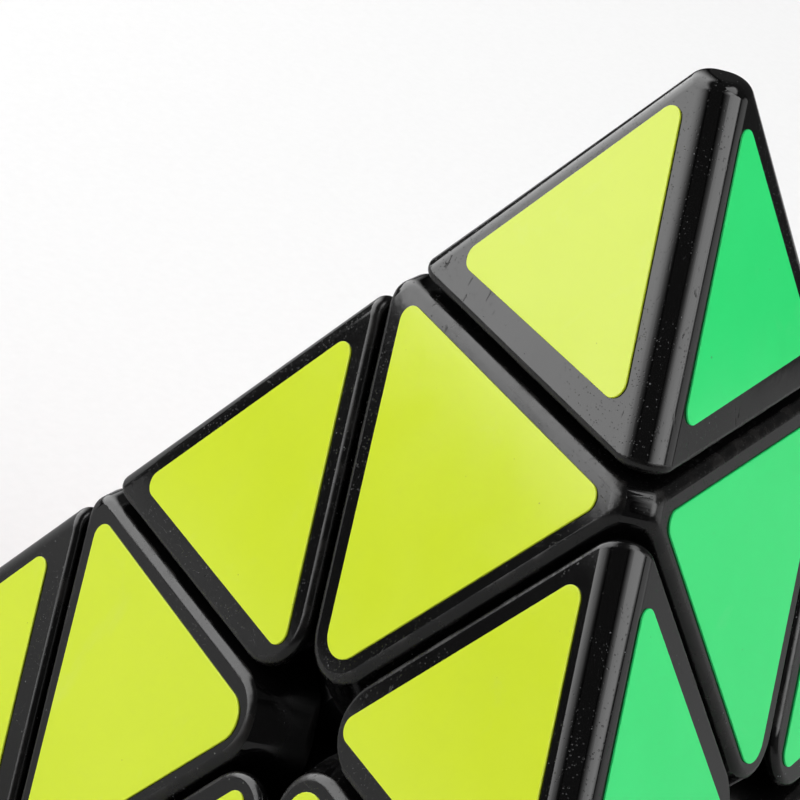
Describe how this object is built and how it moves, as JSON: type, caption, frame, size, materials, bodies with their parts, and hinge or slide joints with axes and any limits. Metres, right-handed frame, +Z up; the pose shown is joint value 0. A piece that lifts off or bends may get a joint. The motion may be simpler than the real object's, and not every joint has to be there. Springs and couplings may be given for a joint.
{
  "type": "pyramid twisty puzzle",
  "caption": "Four-sided pyramid puzzle whose layers and corner tips turn on a sprung core, with glossy black blocks and coloured triangular stickers.",
  "frame": {"origin": "centre of the four-armed core, which is the centroid of the pyramid", "axes": "+Z up through the top tip, the base face down towards -Z; X along the base edge between the left and right tips; the front face towards -Y"},
  "size_m": [0.091, 0.0796, 0.0749],
  "materials": {
    "shell_plastic": "glossy moulded",
    "inner_plastic": "satin moulded",
    "screw_steel": "zinc plated",
    "spring_steel": "drawn wire",
    "sticker_yellow": "vinyl",
    "sticker_green": "vinyl",
    "sticker_red": "vinyl",
    "sticker_blue": "vinyl"
  },
  "bodies": {
    "core_and_base": {"core_spider": "inner_plastic", "screw_top": "screw_steel", "washer_top": "screw_steel", "spring_top": "spring_steel", "screw_left": "screw_steel", "washer_left": "screw_steel", "spring_left": "spring_steel", "screw_right": "screw_steel", "washer_right": "screw_steel", "spring_right": "spring_steel", "screw_back": "screw_steel", "washer_back": "screw_steel", "spring_back": "spring_steel", "corner_housing_left": "shell_plastic", "corner_stem_left": "inner_plastic", "corner_housing_right": "shell_plastic", "corner_stem_right": "inner_plastic", "corner_housing_back": "shell_plastic", "corner_stem_back": "inner_plastic", "edge_cap_left_right": "shell_plastic", "edge_foot_left_right": "inner_plastic", "edge_cap_right_back": "shell_plastic", "edge_foot_right_back": "inner_plastic", "edge_cap_back_left": "shell_plastic", "edge_foot_back_left": "inner_plastic"},
    "top_layer": {"corner_housing_top": "shell_plastic", "corner_stem_top": "inner_plastic", "edge_cap_top_left": "shell_plastic", "edge_foot_top_left": "inner_plastic", "edge_cap_top_right": "shell_plastic", "edge_foot_top_right": "inner_plastic", "edge_cap_top_back": "shell_plastic", "edge_foot_top_back": "inner_plastic"},
    "tip_top": {"tip_cap_top": "shell_plastic", "tip_hub_top": "inner_plastic"},
    "tip_left": {"tip_cap_left": "shell_plastic", "tip_hub_left": "inner_plastic"},
    "tip_right": {"tip_cap_right": "shell_plastic", "tip_hub_right": "inner_plastic"},
    "tip_back": {"tip_cap_back": "shell_plastic", "tip_hub_back": "inner_plastic"}
  },
  "joints": [
    {"name": "top_layer_turn", "type": "hinge", "parent": "core_and_base", "child": "top_layer", "pos_m": [0, 0, 0], "axis": [0, 0, 1], "continuous": true},
    {"name": "tip_top_turn", "type": "hinge", "parent": "top_layer", "child": "tip_top", "pos_m": [0, 0, 0], "axis": [0, 0, 1], "continuous": true},
    {"name": "tip_left_turn", "type": "hinge", "parent": "core_and_base", "child": "tip_left", "pos_m": [0, 0, 0], "axis": [-0.8165, -0.4714, -0.3333], "continuous": true},
    {"name": "tip_right_turn", "type": "hinge", "parent": "core_and_base", "child": "tip_right", "pos_m": [0, 0, 0], "axis": [0.8165, -0.4714, -0.3333], "continuous": true},
    {"name": "tip_back_turn", "type": "hinge", "parent": "core_and_base", "child": "tip_back", "pos_m": [0, 0, 0], "axis": [0, 0.9428, -0.3333], "continuous": true}
  ]
}
